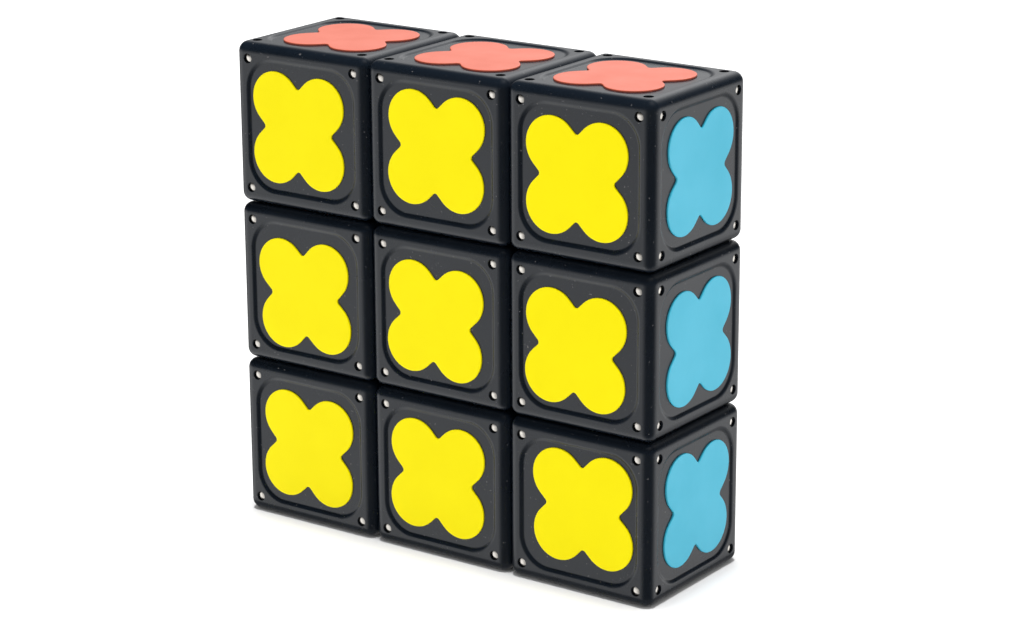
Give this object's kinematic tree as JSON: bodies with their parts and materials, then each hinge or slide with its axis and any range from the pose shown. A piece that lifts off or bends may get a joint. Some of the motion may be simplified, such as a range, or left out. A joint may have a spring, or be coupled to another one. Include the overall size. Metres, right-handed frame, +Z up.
{
  "type": "tic tac toe set",
  "caption": "Black cubes with corner ball magnets that stand as a square wall, with raised coloured crosses on three faces of each cube and rings on the other three.",
  "frame": {"origin": "middle of the underside of the wall of nine cubes, on the surface it stands on", "axes": "+Z up, -Y towards the side with the yellow crosses, +X towards the side with the blue crosses"},
  "size_m": [0.0844, 0.028, 0.0844],
  "materials": {
    "black_shell": "satin moulded black ABS",
    "cage_plastic": "unpainted natural moulded plastic",
    "magnet_nickel": "polished nickel plating",
    "label_yellow": "smooth satin yellow vinyl",
    "label_blue": "smooth satin sky blue vinyl",
    "label_orange": "smooth satin orange red vinyl",
    "label_white": "smooth satin white vinyl",
    "label_green": "smooth satin green vinyl",
    "label_red": "smooth satin red vinyl"
  },
  "bodies": {
    "cube_a1": {"cube_a1_case": "black_shell", "cube_a1_cover": "black_shell", "cube_a1_cage": "cage_plastic", "cube_a1_balls": "magnet_nickel", "cube_a1_cross_labels": "label_yellow", "cube_a1_ring_labels": "label_white"},
    "cube_a2": {"cube_a2_case": "black_shell", "cube_a2_cover": "black_shell", "cube_a2_cage": "cage_plastic", "cube_a2_balls": "magnet_nickel", "cube_a2_cross_labels": "label_yellow", "cube_a2_ring_labels": "label_white"},
    "cube_a3": {"cube_a3_case": "black_shell", "cube_a3_cover": "black_shell", "cube_a3_cage": "cage_plastic", "cube_a3_balls": "magnet_nickel", "cube_a3_cross_labels": "label_yellow", "cube_a3_ring_labels": "label_white"},
    "cube_b1": {"cube_b1_case": "black_shell", "cube_b1_cover": "black_shell", "cube_b1_cage": "cage_plastic", "cube_b1_balls": "magnet_nickel", "cube_b1_cross_labels": "label_yellow", "cube_b1_ring_labels": "label_white"},
    "cube_b2": {"cube_b2_case": "black_shell", "cube_b2_cover": "black_shell", "cube_b2_cage": "cage_plastic", "cube_b2_balls": "magnet_nickel", "cube_b2_cross_labels": "label_yellow", "cube_b2_ring_labels": "label_white"},
    "cube_b3": {"cube_b3_case": "black_shell", "cube_b3_cover": "black_shell", "cube_b3_cage": "cage_plastic", "cube_b3_balls": "magnet_nickel", "cube_b3_cross_labels": "label_yellow", "cube_b3_ring_labels": "label_white"},
    "cube_c1": {"cube_c1_case": "black_shell", "cube_c1_cover": "black_shell", "cube_c1_cage": "cage_plastic", "cube_c1_balls": "magnet_nickel", "cube_c1_cross_labels": "label_yellow", "cube_c1_ring_labels": "label_white"},
    "cube_c2": {"cube_c2_case": "black_shell", "cube_c2_cover": "black_shell", "cube_c2_cage": "cage_plastic", "cube_c2_balls": "magnet_nickel", "cube_c2_cross_labels": "label_yellow", "cube_c2_ring_labels": "label_white"},
    "cube_c3": {"cube_c3_case": "black_shell", "cube_c3_cover": "black_shell", "cube_c3_cage": "cage_plastic", "cube_c3_balls": "magnet_nickel", "cube_c3_cross_labels": "label_yellow", "cube_c3_ring_labels": "label_white"}
  },
  "joints": [
    {"name": "cube_a1_lift", "type": "slide", "parent": "cube_b1", "child": "cube_a1", "axis": [-1, 0, 0], "range_m": [0, 0.04]},
    {"name": "cube_a2_lift", "type": "slide", "parent": "cube_b1", "child": "cube_a2", "axis": [-1, 0, 0], "range_m": [0, 0.04]},
    {"name": "cube_a3_lift", "type": "slide", "parent": "cube_b1", "child": "cube_a3", "axis": [0, 0, 1], "range_m": [0, 0.04]},
    {"name": "cube_b2_lift", "type": "slide", "parent": "cube_b1", "child": "cube_b2", "axis": [0, -1, 0], "range_m": [0, 0.04]},
    {"name": "cube_b3_lift", "type": "slide", "parent": "cube_b1", "child": "cube_b3", "axis": [0, 0, 1], "range_m": [0, 0.04]},
    {"name": "cube_c1_lift", "type": "slide", "parent": "cube_b1", "child": "cube_c1", "axis": [1, 0, 0], "range_m": [0, 0.04]},
    {"name": "cube_c2_lift", "type": "slide", "parent": "cube_b1", "child": "cube_c2", "axis": [1, 0, 0], "range_m": [0, 0.04]},
    {"name": "cube_c3_lift", "type": "slide", "parent": "cube_b1", "child": "cube_c3", "axis": [0, 0, 1], "range_m": [0, 0.04]}
  ]
}
